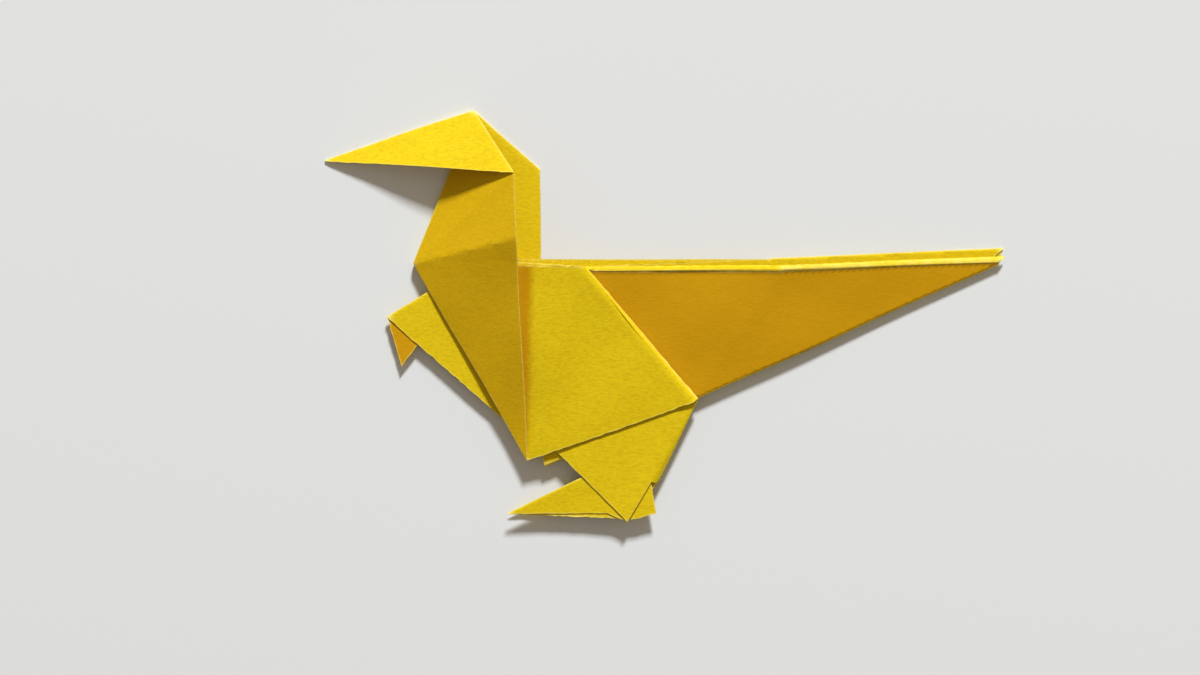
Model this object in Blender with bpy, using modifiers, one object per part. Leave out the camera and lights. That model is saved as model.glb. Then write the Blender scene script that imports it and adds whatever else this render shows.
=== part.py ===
"""A folded paper dinosaur, made from one square sheet and lying on its far side.

The model is one continuous sheet. Each flat face of the folded sheet is a leaf, with its own height at each
corner, and each fold is a small round bend that joins the edges of two leaves. The whole surface then gets
the paper's thickness. Points are laid out from the spine of the sheet, which is the square's diagonal:
tail tip, saddle, breast, crown, snout tip. +X runs to the tail, +Y to the crown, and +Z up from the table.
"""

import math

import bmesh
import bpy
from mathutils import Vector

MM = 0.001

# The sheet, in millimetres. A 150 mm square has a 212 mm diagonal, which the four spine lengths share.
PAPER_THICKNESS = 0.12
LAYER_PITCH = 0.30
BEND_DEPTH = 0.35
BEND_STEPS = 4

# Spine lengths in millimetres, and the directions in degrees in which they run.
TAIL_LENGTH = 98.9
TAIL_ANGLE = 1.4
BACK_LENGTH = 38.9
BACK_ANGLE = 178.6
NECK_LENGTH = 37.8
NECK_ANGLE = 68.5
HEAD_LENGTH = 36.5
HEAD_ANGLE = 198.1

# Folds that leave the spine: the breast fold, the pleat at the hip, and the head's fold on each side.
CHEST_LENGTH = 52.4
CHEST_ANGLE = -60.0
PLEAT_LENGTH = 40.3
PLEAT_ANGLE = -50.4
PLEAT_DEPTH = 15.0
PLEAT_STEP = 0.8
HEAD_FOLD_NEAR = 17.3
HEAD_FOLD_NEAR_ANGLE = -57.6
HEAD_FOLD_FAR = 20.2
HEAD_FOLD_FAR_ANGLE = -41.7
NAPE_LENGTH = 20.2
NAPE_ANGLE = -87.4
NAPE_RIDGE_SHARE = 0.75
FAR_NAPE_LENGTH = 20.9
FAR_NAPE_ANGLE = -89.4

# Tail: the near upper edge is bent at the kink, with a narrow band turned over along it.
BAND_START = 1.9
TAIL_KINK = 45.6
TAIL_KINK_ANGLE = -1.3
TAIL_END = 96.1
TAIL_END_ANGLE = 0.7
FAR_TAIL_KINK = 43.4
FAR_TAIL_TIP = 97.4
FAR_TAIL_ANGLE = 2.6
FAR_EDGE_RISE = 2.0
BELLY_START = 4.1
BELLY_START_ANGLE = -16.4

# Arm, leg and foot.
ARM_REACH = 13.8
ARM_REACH_ANGLE = -117.0
ARM_CUFF_LENGTH = 25.1
ARM_CUFF_ANGLE = 31.1
CLAW_LENGTH = 11.8
CLAW_ANGLE = -74.1
THIGH_LENGTH = 32.6
THIGH_ANGLE = 203.8
SHIN_LENGTH = 20.3
SHIN_ANGLE = -45.0
SHANK_LENGTH = 10.7
SHANK_ANGLE = 60.1
HEEL_LENGTH = 7.5
HEEL_ANGLE = -79.4
FOOT_LENGTH = 34.3
FOOT_ANGLE = 180.0
INSTEP_LENGTH = 33.9
INSTEP_ANGLE = 25.5

# How far the near half stands open above its pressed layers, in millimetres.
SADDLE_OPEN = 3.2
TAIL_OPEN = 2.9
NAPE_TOP_OPEN = 6.4
NAPE_RIDGE_OPEN = 7.6
NAPE_MID_OPEN = 5.6

# The far side of the head lies flat on the table inside this margin.
REST_MARGIN = 1.5

PAPER_COLOUR = (0.80, 0.62, 0.02, 1.0)
PAPER_ROUGHNESS = 0.75


def step(start, length, angle):
    """The point reached from start by going length millimetres at angle degrees."""
    turn = math.radians(angle)
    return (start[0] + length * math.cos(turn), start[1] + length * math.sin(turn))


def level(layer, opening=0.0):
    """The height of a layer of the pressed sheet, counted from the table, plus how far it stands open."""
    return PAPER_THICKNESS / 2 + layer * LAYER_PITCH + opening


def between(start, end, share):
    """The point at that share of the way from start to end."""
    return tuple(a + (b - a) * share for a, b in zip(start, end))


def shifted(point, dx, dy):
    """The point moved by dx and dy."""
    return (point[0] + dx, point[1] + dy)


class Sheet:
    """The folded sheet's middle surface: flat leaves with their own corners, joined by round bends."""

    def __init__(self):
        self.mesh = bmesh.new()
        self.corners = {}

    def leaf(self, name, *corners):
        """A flat face of leaf name. Each corner is (corner name, (x, y), height), or the name alone of a
        corner which the leaf already has."""
        outline = []
        for corner in corners:
            if not isinstance(corner, str):
                corner, point, height = corner
                place = (point[0] * MM, point[1] * MM, height * MM)
                self.corners[name, corner] = self.mesh.verts.new(place)
            outline.append(self.corners[name, corner])
        return self.mesh.faces.new(outline)

    def bend(self, lower, upper, corner, outward):
        """The points of a half round bend from a corner of leaf lower to the same corner of leaf upper."""
        known = self.corners.get((lower, upper, corner))
        if known:
            return known
        low = self.corners[lower, corner]
        high = self.corners[upper, corner]
        centre = (low.co + high.co) / 2
        half = (high.co - low.co) / 2
        depth = min(half.length, BEND_DEPTH * MM)
        points = [low]
        for count in range(1, BEND_STEPS):
            turn = math.pi * count / BEND_STEPS
            place = centre - half * math.cos(turn) + outward * depth * math.sin(turn)
            points.append(self.mesh.verts.new(place))
        points.append(high)
        self.corners[lower, upper, corner] = points
        return points

    def fold(self, lower, upper, start, end, away=None):
        """A bend between two leaves along the edge from corner start to corner end. The point away lies on
        the leaves' side of that edge, and the bend bulges from it, or upwards where there is no such point."""
        first = self.corners[lower, start].co
        along = (self.corners[lower, end].co - first).normalized()
        outward = Vector((0.0, 0.0, 1.0))
        if away:
            inward = Vector((away[0] * MM, away[1] * MM, first.z)) - first
            outward = inward.dot(along) * along - inward
            outward.z = 0.0
            outward.normalize()
        near_end = self.bend(lower, upper, start, outward)
        far_end = self.bend(lower, upper, end, outward)
        for count in range(BEND_STEPS):
            self.mesh.faces.new((near_end[count], far_end[count], far_end[count + 1], near_end[count + 1]))


# Points of the near half, seen from above. far_ points belong to the far half where it differs.
saddle = (0.0, 0.0)
breast = step(saddle, BACK_LENGTH, BACK_ANGLE)
crown = step(breast, NECK_LENGTH, NECK_ANGLE)
snout = step(crown, HEAD_LENGTH, HEAD_ANGLE)
keel = step(breast, CHEST_LENGTH, CHEST_ANGLE)
hip = step(saddle, PLEAT_LENGTH, PLEAT_ANGLE)
nape_top = step(crown, HEAD_FOLD_NEAR, HEAD_FOLD_NEAR_ANGLE)
nape_mid = step(nape_top, NAPE_LENGTH, NAPE_ANGLE)
nape_ridge = between(nape_top, nape_mid, NAPE_RIDGE_SHARE)
far_nape_top = step(crown, HEAD_FOLD_FAR, HEAD_FOLD_FAR_ANGLE)
far_nape_mid = step(far_nape_top, FAR_NAPE_LENGTH, FAR_NAPE_ANGLE)

inner_saddle = shifted(saddle, PLEAT_STEP, -0.2)
inner_hip = shifted(hip, PLEAT_STEP, PLEAT_STEP)
pleat_top = (-PLEAT_DEPTH, -0.3)
far_pleat_top = (-PLEAT_DEPTH, FAR_EDGE_RISE)
far_pleat_end = (saddle[0] + 3.0, FAR_EDGE_RISE)
belly_start = step(keel, BELLY_START, BELLY_START_ANGLE)

band_start = (BAND_START, -0.9)
ridge_start = (0.3, 0.25)
kink = step(saddle, TAIL_KINK, TAIL_KINK_ANGLE)
tail_end = step(saddle, TAIL_END, TAIL_END_ANGLE)
ridge_kink = shifted(kink, 0.0, 1.5)
ridge_tip = shifted(tail_end, 1.5, 1.5)
far_kink = step(saddle, FAR_TAIL_KINK, FAR_TAIL_ANGLE)
far_tip = step(saddle, FAR_TAIL_TIP, FAR_TAIL_ANGLE)
belly_hip = between(belly_start, tail_end, 0.33)
lining_hip = shifted(belly_hip, -0.7, 1.1)
lining_keel = shifted(belly_start, 0.6, 1.4)
lining_end = shifted(tail_end, -3.0, -0.4)

arm_tip = step(breast, ARM_REACH, ARM_REACH_ANGLE)
arm_cuff = step(arm_tip, ARM_CUFF_LENGTH, ARM_CUFF_ANGLE)
claw = step(arm_tip, CLAW_LENGTH, CLAW_ANGLE)

knee = step(hip, THIGH_LENGTH, THIGH_ANGLE)
ankle = step(knee, SHIN_LENGTH, SHIN_ANGLE)
shank = step(ankle, SHANK_LENGTH, SHANK_ANGLE)
heel = step(shank, HEEL_LENGTH, HEEL_ANGLE)
toe = step(heel, FOOT_LENGTH, FOOT_ANGLE)
instep = step(toe, INSTEP_LENGTH, INSTEP_ANGLE)
thigh_back = shifted(knee, -2.6, 2.6)
thigh_top = between(hip, saddle, 0.1)
inner_knee = shifted(knee, -0.2, 0.5)
inner_shank = shifted(shank, 1.5, -0.3)
inner_ankle = shifted(ankle, 1.0, 1.0)
sole = between(heel, toe, 0.33)
heel_bottom = between(heel, ankle, 0.75)

sheet = Sheet()

# Far half, from the table upwards: head, neck, flank, thigh, foot, shin behind the pleat, and tail.
rest = sheet.leaf("far head", ("crown", crown, level(0)), ("snout", snout, level(0)),
                  ("nape", far_nape_top, level(0)))
rest.normal_update()
bmesh.ops.inset_individual(sheet.mesh, faces=[rest], thickness=REST_MARGIN * MM)
sheet.leaf(
    "far neck", ("crown", crown, level(1)), ("breast", breast, level(1)), ("keel", keel, level(1)),
    ("nape mid", far_nape_mid, level(1)), ("nape", far_nape_top, level(1)),
)
sheet.leaf(
    "far flank", ("breast", breast, level(2)), ("keel", keel, level(2)), ("hip", hip, level(2)),
    ("saddle", saddle, level(2)),
)
sheet.leaf(
    "far thigh", ("hip", hip, level(3)), ("top", thigh_top, level(3)), ("back", thigh_back, level(3)),
    ("ankle", ankle, level(2.6)), ("shank", shank, level(2.6)),
)
sheet.leaf(
    "far foot", ("toe", toe, level(3)), ("sole", sole, level(3.6)), ("ankle", ankle, level(3.7)),
    ("shank", shank, level(3.7)), ("instep", instep, level(3.7)),
)
sheet.leaf("far pleat", ("top", far_pleat_top, level(4)), ("saddle", inner_saddle, level(4)),
           ("hip", inner_hip, level(4)), ("keel", belly_start, level(4)))
sheet.leaf("far pleat", "keel", "hip", ("knee", inner_knee, level(4.5)))
sheet.leaf("far pleat", "hip", ("shank", inner_shank, level(5)), ("ankle", inner_ankle, level(5)), "knee")
sheet.leaf("far tail", ("top", far_pleat_top, level(5)), ("step", far_pleat_end, level(5)),
           ("belly", belly_hip, level(5)), ("keel", belly_start, level(5)))
sheet.leaf("far tail", "step", ("kink", far_kink, level(3.6)), "belly")
sheet.leaf("far tail", "kink", ("tip", far_tip, level(0)), ("end", tail_end, level(0)), "belly")

# Lining: the two inner layers of the tail, whose front corners are the arms with their tips folded under.
sheet.leaf("far lining", ("saddle", ridge_start, level(6)), ("belly", lining_hip, level(6)),
           ("keel", lining_keel, level(6)))
sheet.leaf("far lining", "saddle", "keel", ("cuff", arm_cuff, level(6)))
sheet.leaf("far lining", "cuff", "keel", ("arm tip", arm_tip, level(4.4)))
sheet.leaf("far lining", "saddle", ("kink", far_kink, level(4.8)), "belly")
sheet.leaf("far lining", "kink", ("tip", far_tip, level(1)), ("inner end", lining_end, level(1.2)), "belly")
sheet.leaf("far claw", ("arm tip", arm_tip, level(5.2)), ("cuff", arm_cuff, level(6.6)),
           ("claw", claw, level(5)))

sheet.leaf("near claw", ("arm tip", arm_tip, level(6)), ("cuff", arm_cuff, level(7.2)),
           ("claw", claw, level(5.8)))
sheet.leaf("near lining", ("saddle", ridge_start, level(7, TAIL_OPEN - 0.25)), ("belly", lining_hip, level(7)),
           ("keel", lining_keel, level(7)))
sheet.leaf("near lining", "saddle", "keel", ("cuff", arm_cuff, level(7.8)))
sheet.leaf("near lining", "cuff", "keel", ("arm tip", arm_tip, level(6.8)))
sheet.leaf("near lining", "saddle", ("kink", ridge_kink, level(7, TAIL_OPEN - 0.8)), "belly")
sheet.leaf("near lining", "kink", ("end", ridge_tip, level(3.8)), ("inner end", lining_end, level(3.2)), "belly")

# Near half: the tail with its band, the pleat, the thigh and foot, then flank, neck and head on top.
sheet.leaf("near tail", ("top", pleat_top, level(8, TAIL_OPEN - 1.2)), ("saddle", band_start, level(8, TAIL_OPEN)),
           ("keel", belly_start, level(8)))
sheet.leaf("near tail", "saddle", ("belly", belly_hip, level(8)), "keel")
sheet.leaf("near tail", "saddle", ("kink", kink, level(8, TAIL_OPEN - 0.4)), "belly")
sheet.leaf("near tail", "kink", ("end", tail_end, level(5)), "belly")
sheet.leaf("near pleat", ("top", pleat_top, level(9, TAIL_OPEN - 1.2)),
           ("saddle", inner_saddle, level(9, SADDLE_OPEN)), ("keel", belly_start, level(9)))
sheet.leaf("near pleat", "saddle", ("hip", inner_hip, level(9, 0.3)), "keel")
sheet.leaf("near pleat", "keel", "hip", ("knee", inner_knee, level(9)))
sheet.leaf("near pleat", "hip", ("shank", inner_shank, level(8.5)), ("ankle", inner_ankle, level(8)), "knee")
sheet.leaf("near foot", ("toe", toe, level(9.2)), ("bottom", heel_bottom, level(9.6)), ("heel", heel, level(9.8)),
           ("shank", shank, level(10)), ("instep", instep, level(10)))
sheet.leaf("near foot top", ("toe", toe, level(9.8)), ("sole", sole, level(10.3)), ("ankle", ankle, level(10.6)),
           ("shank", shank, level(10.9)), ("instep", instep, level(10.9)))
sheet.leaf("near thigh", ("hip", hip, level(10, 0.4)), ("shank", shank, level(11.8)),
           ("ankle", ankle, level(11.6)), ("back", thigh_back, level(11)), ("top", thigh_top, level(10, 0.75)))
sheet.leaf("near flank", ("breast", breast, level(7.5)), ("keel", keel, level(12)),
           ("saddle", saddle, level(12, SADDLE_OPEN)))
sheet.leaf("near flank", "keel", ("hip", hip, level(12, 0.7)), "saddle")
sheet.leaf("near neck", ("crown", crown, level(3)), ("breast", breast, level(8.5)),
           ("nape", nape_top, level(12, NAPE_TOP_OPEN)))
sheet.leaf("near neck", "nape", "breast", ("nape ridge", nape_ridge, level(12, NAPE_RIDGE_OPEN)))
sheet.leaf("near neck", "nape ridge", "breast", ("nape mid", nape_mid, level(12, NAPE_MID_OPEN)))
sheet.leaf("near neck", "nape mid", "breast", ("keel", keel, level(13)))
sheet.leaf("near head", ("crown", crown, level(4)), ("snout", snout, level(1.4)),
           ("nape", nape_top, level(13, NAPE_TOP_OPEN)))

# Folds: the head's and the neck's closed edges first, then each edge where the sheet turns back on itself.
sheet.fold("far head", "near head", "crown", "snout", nape_top)
sheet.fold("far neck", "near neck", "breast", "crown", nape_mid)
sheet.fold("far head", "far neck", "crown", "nape", snout)
sheet.fold("near neck", "near head", "crown", "nape", snout)
sheet.fold("far neck", "far flank", "breast", "keel", nape_mid)
sheet.fold("near flank", "near neck", "breast", "keel", nape_mid)
sheet.fold("far flank", "far pleat", "saddle", "hip", keel)
sheet.fold("near pleat", "near flank", "saddle", "hip", keel)
sheet.fold("far pleat", "far tail", "top", "keel", hip)
sheet.fold("near tail", "near pleat", "top", "keel", hip)
sheet.fold("far tail", "near tail", "keel", "belly", saddle)
sheet.fold("far tail", "near tail", "belly", "end", saddle)
sheet.fold("near tail", "near lining", "saddle", "kink")
sheet.fold("near tail", "near lining", "kink", "end")
sheet.fold("far tail", "far lining", "kink", "tip", hip)
sheet.fold("far lining", "far claw", "arm tip", "cuff", claw)
sheet.fold("near claw", "near lining", "arm tip", "cuff", claw)
sheet.fold("far thigh", "far pleat", "hip", "shank", knee)
sheet.fold("near pleat", "near thigh", "hip", "shank", knee)
sheet.fold("far thigh", "far foot", "ankle", "shank", toe)
sheet.fold("near foot top", "near thigh", "ankle", "shank", toe)
sheet.fold("near foot", "near foot top", "toe", "instep", heel)


def build_object():
    """The paper dinosaur, with the paper's thickness and with its base centre at the origin."""
    for leftover in list(bpy.data.objects):
        bpy.data.objects.remove(leftover, do_unlink=True)
    surface = sheet.mesh
    bmesh.ops.recalc_face_normals(surface, faces=surface.faces)
    bmesh.ops.triangulate(surface, faces=surface.faces)
    data = bpy.data.meshes.new("folded_sheet")
    surface.to_mesh(data)
    surface.free()
    dinosaur = bpy.data.objects.new("folded_sheet", data)
    collection = bpy.data.collections.new("origami dinosaur")
    bpy.context.scene.collection.children.link(collection)
    collection.objects.link(dinosaur)
    paper = bpy.data.materials.new("yellow paper")
    paper.use_nodes = True
    shader = paper.node_tree.nodes["Principled BSDF"]
    shader.inputs["Base Color"].default_value = PAPER_COLOUR
    shader.inputs["Roughness"].default_value = PAPER_ROUGHNESS
    data.materials.append(paper)
    thickness = dinosaur.modifiers.new("paper thickness", "SOLIDIFY")
    thickness.thickness = PAPER_THICKNESS * MM
    thickness.offset = 0.0
    return dinosaur


def centre_on_base(target):
    """Moves the mesh so that the base centre of the finished shape is at the origin."""
    bpy.context.view_layer.update()
    shape = target.evaluated_get(bpy.context.evaluated_depsgraph_get()).to_mesh()
    lows = [min(vertex.co[axis] for vertex in shape.vertices) for axis in range(3)]
    highs = [max(vertex.co[axis] for vertex in shape.vertices) for axis in range(3)]
    offset = Vector(((lows[0] + highs[0]) / 2, (lows[1] + highs[1]) / 2, lows[2]))
    for vertex in target.data.vertices:
        vertex.co -= offset
    target.data.update()


centre_on_base(build_object())
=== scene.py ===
"""A folded yellow paper dinosaur, dressed for a straight-down view on a pale table."""

import math

import bmesh
import bpy
import numpy as np
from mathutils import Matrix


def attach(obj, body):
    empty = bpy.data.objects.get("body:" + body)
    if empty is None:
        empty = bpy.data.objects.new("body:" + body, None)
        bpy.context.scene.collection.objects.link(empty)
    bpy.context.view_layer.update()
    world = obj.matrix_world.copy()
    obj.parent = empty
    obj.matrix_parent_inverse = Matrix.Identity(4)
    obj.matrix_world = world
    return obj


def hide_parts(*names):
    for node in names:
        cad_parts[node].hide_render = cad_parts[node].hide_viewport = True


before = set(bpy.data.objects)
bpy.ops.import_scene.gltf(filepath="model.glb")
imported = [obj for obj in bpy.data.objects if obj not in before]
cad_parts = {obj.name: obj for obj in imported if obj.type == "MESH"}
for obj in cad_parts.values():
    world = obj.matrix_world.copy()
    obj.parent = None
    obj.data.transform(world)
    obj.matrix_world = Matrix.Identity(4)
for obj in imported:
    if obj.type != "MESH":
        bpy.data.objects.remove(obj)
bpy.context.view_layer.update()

# The folded sheet.
# One thin square of yellow paper, creased by hand and pressed flat. The leaves stay a little bowed, the
# turned edges are rounded, and the raw edges are clean cuts that show the paper's thickness.
MM = 0.001
LONGEST_FACET = 1.5
SHORTEST_EDGE = 2.0
TURNED_ANGLES = (26.0, 65.0)
CUT_ANGLES = (70.0, 110.0)
SHARP_ANGLE = 62.0
BOW = 0.42
BOW_STARTS = 1.2
BOW_FULL = 4.0
WAVE_SHARE = 0.66
WAVER = 0.13
CUT_ROUGHNESS = 0.10
CUT_ROUGHNESS_REACH = 0.5
BREAST = (-57.80, 12.03, 2.61)
KEEL = (-31.63, -33.4, 3.96)
NAPE = ((-33.72, 12.43, 9.26), (-33.95, 17.5, 11.26), (-34.64, 32.6, 10.06), (-43.9, 47.2, 0.96))
NEAR_NECK = tuple((BREAST, lower, upper) for lower, upper in zip((KEEL,) + NAPE, NAPE))
SADDLE = (-18.89, 11.08, 6.86)
FLANK_BREAST = (-57.80, 12.03, 2.31)
FLANK_KEEL = (-31.63, -33.4, 3.66)
HIP = (6.8, -19.97, 4.36)
NEAR_FLANK = ((FLANK_BREAST, FLANK_KEEL, SADDLE), (FLANK_KEEL, HIP, SADDLE))
BELLY = (6.9, -19.1, 2.46)
TAIL_KINK = (26.7, 10.05, 4.96)
TAIL_ROOT = (-17.0, 10.2, 5.36)
TAIL_END = (77.2, 12.25, 1.56)
NEAR_TAIL = ((TAIL_ROOT, TAIL_KINK, BELLY), (TAIL_KINK, TAIL_END, BELLY))
NEAR_CLAW = (((-64.05, -0.27, 1.86), (-42.5, 12.7, 2.22), (-60.8, -11.6, 1.8)),)
NAPE_TURNS = (-60.0, 1.0, 13.0, 41.7)
NAPE_LIFTS = (0.0, 2.2, 1.4, 0.0)
NECK_FAN_WIDTH = 24.0
FLANK_CREASE = ((-31.3, -33.4), (-30.2, 11.0))
FLANK_CREASE_LIFT = 1.2
FLANK_CREASE_LEFT = 3.4
FLANK_CREASE_RIGHT = 15.0


def fine_copy(solid):
    """A mesh of the solid with its doubles merged, its long edges listed by kind, and long facets divided.

    An edge longer than SHORTEST_EDGE is a turned edge where its two facets meet between the TURNED_ANGLES,
    and a cut edge where they meet between the CUT_ANGLES. Edges above SHARP_ANGLE are marked before any is
    divided, so that each part of a divided edge keeps its mark.
    """
    work = bmesh.new()
    work.from_mesh(solid.data)
    bmesh.ops.remove_doubles(work, verts=work.verts, dist=0.001 * MM)
    turned, cut = [], []
    for edge in work.edges:
        if len(edge.link_faces) != 2 or edge.calc_length() < SHORTEST_EDGE * MM:
            continue
        angle = math.degrees(edge.calc_face_angle())
        ends = [tuple(vertex.co / MM) for vertex in edge.verts]
        if TURNED_ANGLES[0] < angle < TURNED_ANGLES[1]:
            turned.append(ends)
        elif CUT_ANGLES[0] < angle < CUT_ANGLES[1]:
            cut.append(ends)
    for edge in work.edges:
        edge.smooth = len(edge.link_faces) == 2 and math.degrees(edge.calc_face_angle()) < SHARP_ANGLE
    for _ in range(9):
        long_edges = [edge for edge in work.edges if edge.calc_length() > LONGEST_FACET * MM]
        if not long_edges:
            break
        bmesh.ops.subdivide_edges(work, edges=long_edges, cuts=1, use_grid_fill=True)
    mesh = bpy.data.meshes.new("folded_paper")
    work.to_mesh(mesh)
    work.free()
    return mesh, np.array(turned), np.array(cut)


def distance_to(points, segments, flattening=3.0):
    """How far each point is from the nearest segment, in millimetres.

    Each point is projected on each segment, with the projection kept between its ends, and the smallest
    distance is taken. Heights count three times, so that an edge in a layer below counts as far away.
    """
    scale = np.array([1.0, 1.0, flattening])
    start = segments[:, 0] * scale
    along = segments[:, 1] * scale - start
    length = (along**2).sum(axis=1)
    nearest = np.full(len(points), 1e3)
    for first in range(0, len(start), 40):
        part = slice(first, first + 40)
        offset = points[:, None, :] * scale - start[None, part]
        share = np.clip((offset * along[None, part]).sum(axis=2) / length[None, part], 0.0, 1.0)
        gap = offset - share[:, :, None] * along[None, part]
        nearest = np.minimum(nearest, np.sqrt((gap**2).sum(axis=2)).min(axis=1))
    return nearest


def on_leaf(points, triangles, reach=0.14, slack=0.012):
    """True for points on a leaf that is given as triangles, each of three corners in millimetres.

    A point is on a triangle where none of its three area shares, seen from above, is below zero by more
    than the slack, and its height is within the reach of the corner heights weighted by those shares.
    """
    found = np.zeros(len(points), dtype=bool)
    for triangle in triangles:
        a, b, c = np.array(triangle)
        u, v, w = b[:2] - a[:2], c[:2] - a[:2], points[:, :2] - a[:2]
        area = u[0] * v[1] - u[1] * v[0]
        second = (w[:, 0] * v[1] - w[:, 1] * v[0]) / area
        third = (u[0] * w[:, 1] - u[1] * w[:, 0]) / area
        first = 1.0 - second - third
        height = first * a[2] + second * b[2] + third * c[2]
        inside = np.minimum(np.minimum(first, second), third) > -slack
        found |= inside & (np.abs(points[:, 2] - height) < reach)
    return found


def beside_crease(x, y):
    """How far right of the flank's soft crease a point is, and how far up the crease from 0 to 1."""
    foot, head = FLANK_CREASE
    up = np.clip((y - foot[1]) / (head[1] - foot[1]), 0.0, 1.0)
    return x - (foot[0] + (head[0] - foot[0]) * up), up


def hand_folded(points, to_cut):
    """Moves the leaves as a hand-folded sheet lies.

    Upper layers rise by BOW times a slow wave of x and y, faded in with height from BOW_STARTS to BOW_FULL
    millimetres. All layers waver sideways together by WAVER times another slow wave, and near a cut edge by
    CUT_ROUGHNESS times a quick one, as a blade leaves it. The near neck leaf is a fan about the breast: it
    rises in proportion to the way across it, by the lift that its direction from the breast is given. The
    near flank has one soft crease beside the nape, a tent of straight slopes that closes at the keel.
    """
    x, y, z = points.T
    fade = np.clip((z - BOW_STARTS) / (BOW_FULL - BOW_STARTS), 0.0, 1.0)
    fade = fade * fade * (3.0 - 2.0 * fade)
    wave = np.sin(x / 9.0 + 0.8 * np.sin(y / 11.0)) * np.cos(y / 8.0 + 0.4) + 0.5 * np.sin((x - y) / 5.3)
    direction = np.degrees(np.arctan2(y - BREAST[1], x - BREAST[0]))
    across = np.clip((x - BREAST[0]) / NECK_FAN_WIDTH, 0.0, 1.0)
    neck_lift = across * np.interp(direction, NAPE_TURNS, NAPE_LIFTS)
    neck_lift = np.where(on_leaf(points, NEAR_NECK), neck_lift, 0.0)

    beside, up = beside_crease(x, y)
    slopes = np.where(beside < 0.0, 1.0 + beside / FLANK_CREASE_LEFT, 1.0 - beside / FLANK_CREASE_RIGHT)
    crease = FLANK_CREASE_LIFT * np.sqrt(up) * np.clip(slopes, 0.0, 1.0)
    crease = np.where(on_leaf(points, NEAR_FLANK), crease, 0.0)

    moved = np.empty_like(points)
    rough = CUT_ROUGHNESS * np.clip(1.0 - to_cut / CUT_ROUGHNESS_REACH, 0.0, 1.0)
    quick_x = np.sin(2.3 * y + 1.4 * np.sin(0.9 * y)) * np.cos(0.7 * x)
    quick_y = np.sin(2.1 * x + 1.7 * np.sin(0.8 * x)) * np.cos(0.6 * y)
    moved[:, 0] = x + WAVER * np.sin(y / 6.1 + 1.0) * np.cos(x / 14.0) + rough * quick_x
    moved[:, 1] = y + WAVER * np.sin(x / 7.3) * np.cos(y / 17.0 + 0.5) + rough * quick_y
    moved[:, 2] = z + BOW * fade * WAVE_SHARE * wave + neck_lift + crease
    return moved


def store(mesh, name, values):
    """Keeps one number for each vertex of the mesh as an attribute."""
    layer = mesh.attributes.new(name, "FLOAT", "POINT")
    layer.data.foreach_set("value", np.asarray(values, dtype=np.float32))


paper_mesh, turned_edges, cut_edges = fine_copy(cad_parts["folded_sheet"])
flat = np.empty(len(paper_mesh.vertices) * 3)
paper_mesh.vertices.foreach_get("co", flat)
resting = flat.reshape(-1, 3) / MM
to_cut_edge = distance_to(resting, cut_edges)
lying = hand_folded(resting, to_cut_edge)
paper_mesh.vertices.foreach_set("co", (lying * MM).ravel())
paper_mesh.update()
store(paper_mesh, "to_turned_edge", distance_to(resting, turned_edges))
store(paper_mesh, "to_cut_edge", to_cut_edge)

# The corners that fingers and the table rub most: snout, breast, toe, crown, both tail tips and arm.
RUBBED_CORNERS = np.array([
    (-78.6, 35.9, 0.6), (-57.8, 12.0, 1.6), (-36.3, -45.7, 3.0), (-43.9, 47.2, 0.8), (78.0, 12.4, 1.6),
    (78.6, 15.4, 0.3), (-63.9, -0.3, 1.8),
])
to_corner = np.sqrt(((resting[:, None, :] - RUBBED_CORNERS[None]) ** 2).sum(axis=2)).min(axis=1)
store(paper_mesh, "to_corner", to_corner)

# Painted shade: the near tail, the claw, less so the neck, and the strip of the flank beside the nape, which
# starts a little right of the crease and is full within its fade, are painted a deeper orange for the shade
# on them and the light that thin paper lets through.
STRIP_SHADE = 0.9
STRIP_START = 0.2
STRIP_FADE = 1.2
TAIL_SHADE = 0.95
NECK_SHADE = 0.5
CLAW_SHADE = 1.0
beside, _ = beside_crease(resting[:, 0], resting[:, 1])
strip = STRIP_SHADE * np.clip((STRIP_START - beside) / STRIP_FADE, 0.0, 1.0)
painted_shade = np.where(on_leaf(resting, NEAR_FLANK), strip, 0.0)
for leaf, amount in ((NEAR_TAIL, TAIL_SHADE), (NEAR_NECK, NECK_SHADE), (NEAR_CLAW, CLAW_SHADE)):
    painted_shade = np.where(on_leaf(resting, leaf), amount, painted_shade)
store(paper_mesh, "painted_shade", painted_shade)

paper = bpy.data.objects.new("folded_paper", paper_mesh)
bpy.context.scene.collection.objects.link(paper)
paper_mesh.polygons.foreach_set("use_smooth", np.ones(len(paper_mesh.polygons), dtype=bool))
weights = paper.modifiers.new("leaf shading", "WEIGHTED_NORMAL")
weights.mode = "FACE_AREA"
weights.keep_sharp = True


# The paper.
# Dyed writing paper of medium weight: matte, with short fibres, faint cloudiness in the dye, and a pale core
# that shows where a fold or a corner has been rubbed and along the cuts.
# The pale lines along turned and cut edges are wear and painted highlight, where rounded folds and cut rims
# catch the lamp.
PAPER_YELLOW = (0.80, 0.62, 0.006, 1.0)
PAPER_DEEP = (0.74, 0.54, 0.003, 1.0)
FIBRE_SHADE = (0.50, 0.29, 0.001, 1.0)
# Painted shade: the deeper orange put on leaves that stand in shade or let light through the thin paper.
PAPER_PAINTED_SHADE = (0.64, 0.33, 0.001, 1.0)
# Wear and painted highlight: the pale yellows of turned and cut edges; the first also marks the rubbed
# corners, which are wear only.
RUBBED_AND_HIGHLIT_YELLOW = (0.92, 0.82, 0.22, 1.0)
CUT_AND_HIGHLIT_YELLOW = (0.90, 0.78, 0.16, 1.0)


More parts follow.
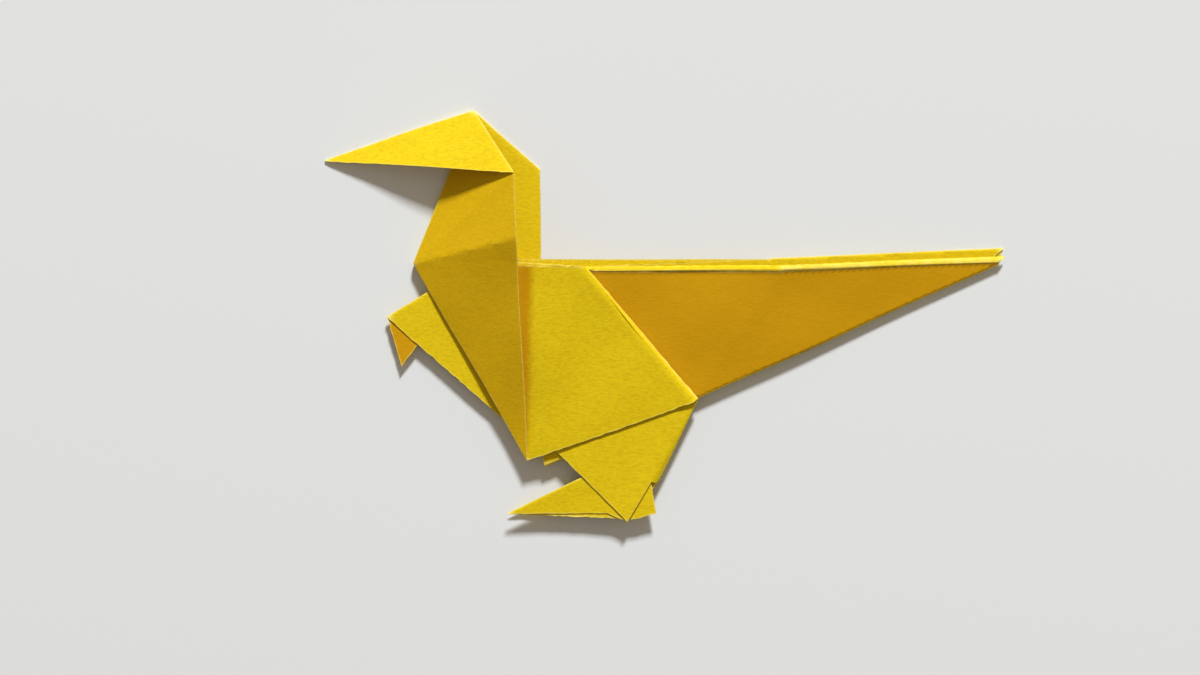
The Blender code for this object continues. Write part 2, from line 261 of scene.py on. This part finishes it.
def wear_and_highlight_group():
    """A shader group that turns a distance from an edge into a broken line, used for wear and for painted
    highlight.

    The mask falls from 1 at the edge to 0 at the reach, and is thinned where a noise on the object's own
    coordinates is low.
    """
    group = bpy.data.node_groups.new("rubbed and highlit edge", "ShaderNodeTree")
    for name, value in (("Distance", 10.0), ("Reach", 0.4), ("Patchiness", 0.5), ("Noise scale", 700.0)):
        socket = group.interface.new_socket(name, in_out="INPUT", socket_type="NodeSocketFloat")
        socket.default_value = value
    group.interface.new_socket("Mask", in_out="OUTPUT", socket_type="NodeSocketFloat")
    nodes, links = group.nodes, group.links
    given = nodes.new("NodeGroupInput")
    result = nodes.new("NodeGroupOutput")
    ramp = nodes.new("ShaderNodeMapRange")
    ramp.interpolation_type = "SMOOTHSTEP"
    ramp.inputs["To Min"].default_value = 1.0
    ramp.inputs["To Max"].default_value = 0.0
    place = nodes.new("ShaderNodeTexCoord")
    noise = nodes.new("ShaderNodeTexNoise")
    noise.inputs["Detail"].default_value = 4.0
    thinning = nodes.new("ShaderNodeMapRange")
    thinning.inputs["From Min"].default_value = 0.35
    thinning.inputs["From Max"].default_value = 0.62
    least = nodes.new("ShaderNodeMath")
    least.operation = "SUBTRACT"
    least.inputs[0].default_value = 1.0
    product = nodes.new("ShaderNodeMath")
    product.operation = "MULTIPLY"
    links.new(given.outputs["Distance"], ramp.inputs["Value"])
    links.new(given.outputs["Reach"], ramp.inputs["From Max"])
    links.new(place.outputs["Object"], noise.inputs["Vector"])
    links.new(given.outputs["Noise scale"], noise.inputs["Scale"])
    links.new(given.outputs["Patchiness"], least.inputs[1])
    links.new(noise.outputs["Fac"], thinning.inputs["Value"])
    links.new(least.outputs[0], thinning.inputs["To Min"])
    links.new(ramp.outputs["Result"], product.inputs[0])
    links.new(thinning.outputs["Result"], product.inputs[1])
    links.new(product.outputs[0], result.inputs["Mask"])
    return group


def colour_mix(nodes, links, factor, first, second):
    """The colour socket of a mix of two colours, each a socket or four numbers, by a factor socket."""
    mix = nodes.new("ShaderNodeMix")
    mix.data_type = "RGBA"
    links.new(factor, mix.inputs["Factor"])
    for name, colour in (("A", first), ("B", second)):
        socket = next(s for s in mix.inputs if s.name == name and s.type == "RGBA")
        if isinstance(colour, tuple):
            socket.default_value = colour
        else:
            links.new(colour, socket)
    return next(s for s in mix.outputs if s.type == "RGBA")


def scaled(nodes, links, socket, amount):
    """The socket's value times an amount."""
    times = nodes.new("ShaderNodeMath")
    times.operation = "MULTIPLY"
    times.inputs[1].default_value = amount
    links.new(socket, times.inputs[0])
    return times.outputs[0]


paper_finish = bpy.data.materials.new("yellow_paper")
paper_finish.use_nodes = True
nodes, links = paper_finish.node_tree.nodes, paper_finish.node_tree.links
shader = nodes["Principled BSDF"]
place = nodes.new("ShaderNodeTexCoord")

clouds = nodes.new("ShaderNodeTexNoise")
clouds.inputs["Scale"].default_value = 160.0
clouds.inputs["Detail"].default_value = 5.0
links.new(place.outputs["Object"], clouds.inputs["Vector"])
dye = colour_mix(nodes, links, clouds.outputs["Fac"], PAPER_DEEP, PAPER_YELLOW)

fibres = nodes.new("ShaderNodeTexNoise")
fibres.inputs["Scale"].default_value = 2300.0
fibres.inputs["Detail"].default_value = 6.0
fibres.inputs["Distortion"].default_value = 0.6
stretch = nodes.new("ShaderNodeMapping")
stretch.inputs["Rotation"].default_value = (0.0, 0.0, 0.15)
stretch.inputs["Scale"].default_value = (0.38, 1.0, 1.0)
links.new(place.outputs["Object"], stretch.inputs["Vector"])
links.new(stretch.outputs["Vector"], fibres.inputs["Vector"])
fibre_mask = nodes.new("ShaderNodeMapRange")
fibre_mask.inputs["From Min"].default_value = 0.42
fibre_mask.inputs["From Max"].default_value = 0.66
fibre_mask.inputs["To Max"].default_value = 0.34
links.new(fibres.outputs["Fac"], fibre_mask.inputs["Value"])

# Painted shade: the leaves listed above are mixed towards the deeper orange.
shade_paint = nodes.new("ShaderNodeAttribute")
shade_paint.attribute_name = "painted_shade"
dye = colour_mix(nodes, links, shade_paint.outputs["Fac"], dye, PAPER_PAINTED_SHADE)
dye = colour_mix(nodes, links, fibre_mask.outputs["Result"], dye, FIBRE_SHADE)

# Wear and painted highlight from the weakest to the strongest, each with its reach in millimetres,
# patchiness, grain and strength.
# The turned and cut edge lines are wear and painted highlight on rounded folds and rims; the corners are
# wear only.
edge_wear_and_highlight = wear_and_highlight_group()
worn_and_highlit = dye
for attribute, reach, patchiness, grain, strength, colour in (
    ("to_turned_edge", 0.50, 0.70, 420.0, 0.50, RUBBED_AND_HIGHLIT_YELLOW),
    ("to_cut_edge", 0.34, 0.60, 650.0, 0.75, CUT_AND_HIGHLIT_YELLOW),
    ("to_corner", 2.0, 0.35, 500.0, 0.85, RUBBED_AND_HIGHLIT_YELLOW),
):
    distance = nodes.new("ShaderNodeAttribute")
    distance.attribute_name = attribute
    edge = nodes.new("ShaderNodeGroup")
    edge.node_tree = edge_wear_and_highlight
    edge.inputs["Reach"].default_value = reach
    edge.inputs["Patchiness"].default_value = patchiness
    edge.inputs["Noise scale"].default_value = grain
    links.new(distance.outputs["Fac"], edge.inputs["Distance"])
    worn_and_highlit = colour_mix(nodes, links, scaled(nodes, links, edge.outputs["Mask"], strength), worn_and_highlit, colour)
links.new(worn_and_highlit, shader.inputs["Base Color"])

tooth = nodes.new("ShaderNodeBump")
tooth.inputs["Strength"].default_value = 0.45
tooth.inputs["Distance"].default_value = 0.00009
cockle = nodes.new("ShaderNodeBump")
cockle.inputs["Strength"].default_value = 0.35
cockle.inputs["Distance"].default_value = 0.0004
links.new(fibres.outputs["Fac"], tooth.inputs["Height"])
links.new(clouds.outputs["Fac"], cockle.inputs["Height"])
links.new(cockle.outputs["Normal"], tooth.inputs["Normal"])
links.new(tooth.outputs["Normal"], shader.inputs["Normal"])

matte = nodes.new("ShaderNodeMapRange")
matte.inputs["To Min"].default_value = 0.68
matte.inputs["To Max"].default_value = 0.84
links.new(fibres.outputs["Fac"], matte.inputs["Value"])
links.new(matte.outputs["Result"], shader.inputs["Roughness"])
shader.inputs["Specular IOR Level"].default_value = 0.14

paper_mesh.materials.clear()
paper_mesh.materials.append(paper_finish)
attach(paper, "root")
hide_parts("folded_sheet")


# The table.
# A plain pale and fully matte table top that the model lies on, just under the model's lowest face.
TABLE_HALF = 1.5
TABLE_DROP = 0.02
TABLE_COLOUR = (0.77, 0.81, 0.84, 1.0)

table_mesh = bpy.data.meshes.new("table_top")
table_corners = TABLE_HALF * np.array([(-1, -1), (1, -1), (1, 1), (-1, 1)])
table_mesh.from_pydata([(x, y, -TABLE_DROP * MM) for x, y in table_corners.tolist()], [], [(0, 1, 2, 3)])
table = bpy.data.objects.new("table_top", table_mesh)
bpy.context.scene.collection.objects.link(table)
table_finish = bpy.data.materials.new("table_top")
table_finish.use_nodes = True
table_shader = table_finish.node_tree.nodes["Principled BSDF"]
table_shader.inputs["Base Color"].default_value = TABLE_COLOUR
table_shader.inputs["Roughness"].default_value = 1.0
table_shader.inputs["Specular IOR Level"].default_value = 0.0
table_mesh.materials.append(table_finish)


# The studio light.
# A soft lamp stands far off beyond the head, a little towards the tail, and faces the middle of the model.
# Its distance keeps the table evenly lit, and a dim warm room fills the shadows.
LAMP_PLACE = (0.84, 4.92, 3.12)
LAMP_SIZE = 0.84
LAMP_POWER = 432.0
ROOM_COLOUR = (1.0, 0.84, 0.68, 1.0)
ROOM_STRENGTH = 0.30

lamp = bpy.data.lights.new("window_lamp", "AREA")
lamp.size = LAMP_SIZE
lamp.energy = LAMP_POWER
lamp_stand = bpy.data.objects.new("window_lamp", lamp)
lamp_stand.location = LAMP_PLACE
lamp_stand.rotation_euler = (-lamp_stand.location).to_track_quat("-Z", "Y").to_euler()
bpy.context.scene.collection.objects.link(lamp_stand)

room = bpy.data.worlds.new("warm_room")
room.use_nodes = True
room.node_tree.nodes["Background"].inputs["Color"].default_value = ROOM_COLOUR
room.node_tree.nodes["Background"].inputs["Strength"].default_value = ROOM_STRENGTH
bpy.context.scene.world = room
bpy.context.scene.view_settings.view_transform = "Standard"


# The camera.
# It looks straight down, with the head to the upper left and the tail to the right.
VIEW_WIDTH = 0.278
CAMERA_HEIGHT = 0.60
VIEW_CENTRE = (-0.01495, -0.00502)
SENSOR_WIDTH = 36.0

lens = bpy.data.cameras.new("overhead_camera")
lens.sensor_width = SENSOR_WIDTH
lens.lens = SENSOR_WIDTH * CAMERA_HEIGHT / VIEW_WIDTH
camera = bpy.data.objects.new("overhead_camera", lens)
camera.location = (VIEW_CENTRE[0], VIEW_CENTRE[1], CAMERA_HEIGHT)
bpy.context.scene.collection.objects.link(camera)
bpy.context.scene.camera = camera
